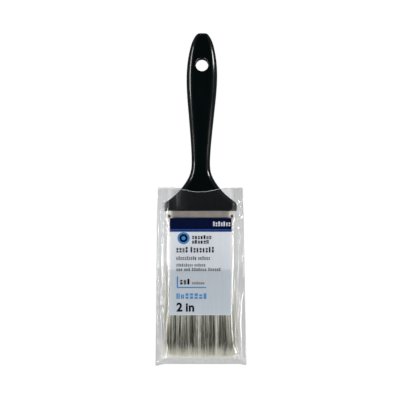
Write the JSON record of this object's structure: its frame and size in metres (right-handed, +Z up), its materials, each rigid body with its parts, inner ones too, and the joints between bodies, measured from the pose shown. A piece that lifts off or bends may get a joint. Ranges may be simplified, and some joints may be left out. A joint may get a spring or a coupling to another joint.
{
  "type": "flat paint brush in a film sleeve",
  "caption": "Flat wall paint brush with a moulded handle and hanging hole, a metal ferrule and a wide filament bundle, inside a clear film sleeve that slides off.",
  "frame": {"origin": "on the surface that the packed brush lies on, under the middle of its overall box", "axes": "+Z up out of the printed front, +Y along the brush towards the hanging hole, +X across the brush to the right as the printed panel is read"},
  "size_m": [0.068, 0.2508, 0.0162],
  "materials": {
    "handle_plastic": "black moulded plastic, glossy",
    "ferrule_metal": "thin pressed tin-plated steel",
    "nail_metal": "dull steel",
    "setting_epoxy": "cured amber setting epoxy",
    "spacer_board": "pale pressed board",
    "filaments": "dark grey-green filaments with cream tips",
    "clear_film": "thin clear plastic film",
    "panel_print": "printed film, white with a navy band"
  },
  "bodies": {
    "brush": {"handle": "handle_plastic", "ferrule": "ferrule_metal", "ferrule_nails": "nail_metal", "epoxy_block": "setting_epoxy", "front_spacer": "spacer_board", "rear_spacer": "spacer_board", "front_filaments": "filaments", "middle_filaments": "filaments", "rear_filaments": "filaments"},
    "sleeve": {"front_film": "clear_film", "back_film": "clear_film", "printed_panel": "panel_print"}
  },
  "joints": [
    {"name": "sleeve_pull_off", "type": "slide", "parent": "brush", "child": "sleeve", "axis": [0, -1, 0], "range_m": [0, 0.135]}
  ]
}
